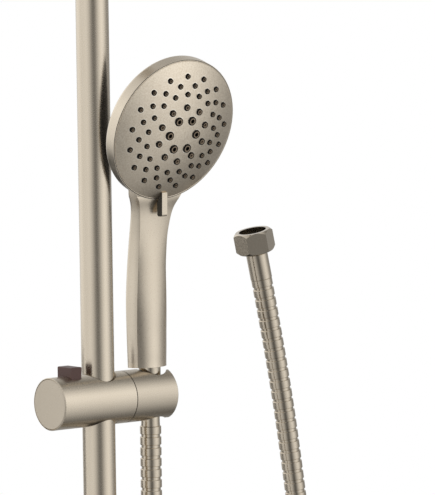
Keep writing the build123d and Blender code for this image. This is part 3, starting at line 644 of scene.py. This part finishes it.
# %% [markdown]
# ## The edge of the face
# The face turns inside the rim of the head. In the joint between them lies a thin black ring, painted shade
# where the gap's shadow falls, and beside it a ring of lighter nickel, a painted highlight along the edge of
# the face. Both are tori, pressed flat so that they lie in the joint: a torus is quicker than a spun profile
# and has no seam. They are made lying flat and then turned onto the face.

# %% Seam shade and bright edge
onto_face = Matrix.Translation(head_centre) @ Matrix.Rotation(face_turn, 4, "X")


def face_ring(name, radius, thickness, height, flatness, finish):
    """A flattened ring that lies round the face, height above its rim."""
    bpy.ops.object.select_all(action="DESELECT")
    bpy.ops.mesh.primitive_torus_add(
        major_radius=radius, minor_radius=thickness / 2, major_segments=180, minor_segments=8,
        location=(0, 0, 0),
    )
    ring = bpy.context.object
    ring.name = name
    bpy.ops.object.mode_set(mode="EDIT")
    bpy.ops.mesh.select_all(action="SELECT")
    bpy.ops.transform.resize(value=(1, 1, flatness))
    bpy.ops.transform.translate(value=(0, 0, height))
    bpy.ops.object.mode_set(mode="OBJECT")
    bpy.ops.object.shade_smooth()
    ring.data.transform(onto_face)
    ring.data.materials.append(finishes[finish])
    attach(ring, "selector")
    return ring


# Painted shade: a black ring in the seam, where the gap's shadow falls.
face_seam_shade = face_ring(
    "face_seam_shade", radius=0.0496, thickness=0.0005, height=-0.00008, flatness=0.5,
    finish="seal_rubber",
)
# Painted highlight: a ring of lighter nickel along the edge of the face.
face_bead = face_ring(
    "face_bead", radius=0.0491, thickness=0.0006, height=0.0001, flatness=0.6,
    finish="bead_highlight_nickel",
)
print("rings:", len(face_seam_shade.data.polygons), "and", len(face_bead.data.polygons), "faces")

# %% [markdown]
# ## The middle of the face
# A crowned face closes on one point in its middle, and light breaks on that point. A small smooth cap with
# the same crown lies over it. It is a filled circle, inset ring by ring and then lifted onto the crown, with
# its outermost ring sunk into the face so that no edge shows.

# %% Middle cap
face_crown = 0.0108
crown_radius = 0.11884
cap_radius = 0.0048
cap_inset = 0.0011
cap_rings = 4
cap_sunk_from = 0.0045
cap_lift = 0.00003
bpy.ops.object.select_all(action="DESELECT")
bpy.ops.mesh.primitive_circle_add(vertices=48, radius=cap_radius, fill_type="NGON", location=(0, 0, 0))
middle_cap = bpy.context.object
middle_cap.name = "face_middle"
bpy.ops.object.mode_set(mode="EDIT")
bpy.ops.mesh.select_all(action="SELECT")
for _ in range(cap_rings):
    bpy.ops.mesh.inset(thickness=cap_inset, use_boundary=True)
bpy.ops.mesh.poke()
bpy.ops.object.mode_set(mode="OBJECT")
for vertex in middle_cap.data.vertices:
    from_middle = math.hypot(vertex.co.x, vertex.co.y)
    lift = cap_lift if from_middle < cap_sunk_from else -cap_lift
    vertex.co.z = face_crown + lift + math.sqrt(crown_radius**2 - from_middle**2) - crown_radius
bpy.ops.object.shade_smooth()
middle_cap.data.transform(onto_face)
middle_cap.data.materials.append(finishes["face_nickel"])
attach(middle_cap, "selector")
print("middle cap:", len(middle_cap.data.polygons), "faces")

# %% [markdown]
# ## The line of the hose
# A metal hose is limp but can't kink. It hangs straight down out of the holder, turns in one wide loop at
# the bottom and comes up again to its free end, in the same plane as the bar. Its line is one smooth spline
# along the middle of the hose. The control points, x and z in millimetres, are the same ones that the solid
# hose follows.

# %% Hose line
hose_points = [
    (44.4, -24), (44.4, -84), (43.3, -169), (40.6, -259), (40.2, -326), (43.5, -382.8), (62.2, -415.3),
    (94.7, -434), (132.3, -434), (164.8, -415.3), (183.5, -382.8), (188, -329), (188.8, -259), (184, -169),
    (172, -79), (158, 6), (144, 68),
]
line = bpy.data.curves.new("hose_line", "CURVE")
line.dimensions = "3D"
spline = line.splines.new("NURBS")
spline.points.add(len(hose_points) - 1)
for point, (x, z) in zip(spline.points, hose_points):
    point.co = (x / 1000, bar_y, z / 1000, 1)
spline.order_u = 3
spline.use_endpoint_u = True
spline.resolution_u = 24
line_object = bpy.data.objects.new("hose_line", line)
bpy.context.collection.objects.link(line_object)
line_mesh = bpy.data.meshes.new_from_object(line_object)
path = [vertex.co.copy() for vertex in line_mesh.vertices]
bpy.data.objects.remove(line_object)
steps = [(b - a).length for a, b in zip(path, path[1:])]
hose_length = sum(steps)
print("hose line:", len(path), "points,", round(hose_length, 4), "m")

# %% [markdown]
# ## The wound metal strip
# The hose is wound from a folded metal strip: broad bands with narrow sunk collars between them. One collar
# and its band is a short profile of (share of the pitch, radius). An array along a curve would stretch the
# bands in the loop, so the profile is repeated along the line, from one open end to the other.

# %% Bands of the hose
hose_diameter = 0.0146
band_radius = hose_diameter / 2
edge_radius = 0.00728
fold_radius = 0.0070
collar_radius = 0.0065
bore_radius = 0.0045
pitch = 0.0073
band_profile = [
    (0.00, collar_radius), (0.24, collar_radius), (0.25, fold_radius), (0.29, edge_radius),
    (0.45, band_radius), (0.80, band_radius), (0.95, edge_radius), (0.99, fold_radius),
]
band_count = int(hose_length / pitch)
rings = [(0.0, bore_radius), (0.0, collar_radius)]
for band in range(band_count):
    rings += [((band + share) * hose_length / band_count, radius) for share, radius in band_profile]
rings += [(hose_length, collar_radius), (hose_length, bore_radius)]
print("hose:", band_count, "bands")

# %% [markdown]
# ## Rings of vertices
# Each point of the profile becomes a ring of vertices square to the line, and faces join each ring to the
# next. The hose lies in one plane, so the direction square to that plane is a steady start for every ring.

# %% Rings of the hose
around_count = 32
square_to_plane = Vector((0, 1, 0))


def along(distance):
    """Place and direction on the hose line at a distance from its start."""
    left = min(max(distance, 0), hose_length - 1e-9)
    for start, end, step in zip(path, path[1:], steps):
        if left <= step:
            return start.lerp(end, left / step), (end - start).normalized()
        left -= step
    return path[-1], (path[-1] - path[-2]).normalized()


vertices = []
for distance, radius in rings:
    middle, heading = along(distance)
    sideways = heading.cross(square_to_plane).normalized()
    for turn in range(around_count):
        angle = 2 * math.pi * turn / around_count
        vertices.append(middle + (square_to_plane * math.cos(angle) + sideways * math.sin(angle)) * radius)
faces = []
for ring in range(len(rings) - 1):
    for turn in range(around_count):
        a = ring * around_count + turn
        b = ring * around_count + (turn + 1) % around_count
        faces.append((a, b, b + around_count, a + around_count))
print("hose:", len(vertices), "vertices,", len(faces), "faces")

# %% [markdown]
# ## The hose as a piece
# The rings become one mesh, with sharp edges where a band meets its collar. It rides on the hose's own body
# and takes the place of the ribbed solid.

# %% Hose
hose_mesh = bpy.data.meshes.new("hose_wound")
hose_mesh.from_pydata(vertices, [], faces)
hose_piece = bpy.data.objects.new("hose_wound", hose_mesh)
bpy.context.collection.objects.link(hose_piece)
bpy.ops.object.select_all(action="DESELECT")
hose_piece.select_set(True)
bpy.context.view_layer.objects.active = hose_piece
bpy.ops.object.mode_set(mode="EDIT")
bpy.ops.mesh.select_all(action="SELECT")
bpy.ops.mesh.normals_make_consistent(inside=False)
bpy.ops.object.mode_set(mode="OBJECT")
bpy.ops.object.shade_smooth_by_angle(angle=math.radians(28))
hose_mesh.materials.append(finishes["hose_nickel"])
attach(hose_piece, "hose_line")
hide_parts("hose")
print("hose:", round(hose_length, 3), "m long,", hose_diameter, "m across")
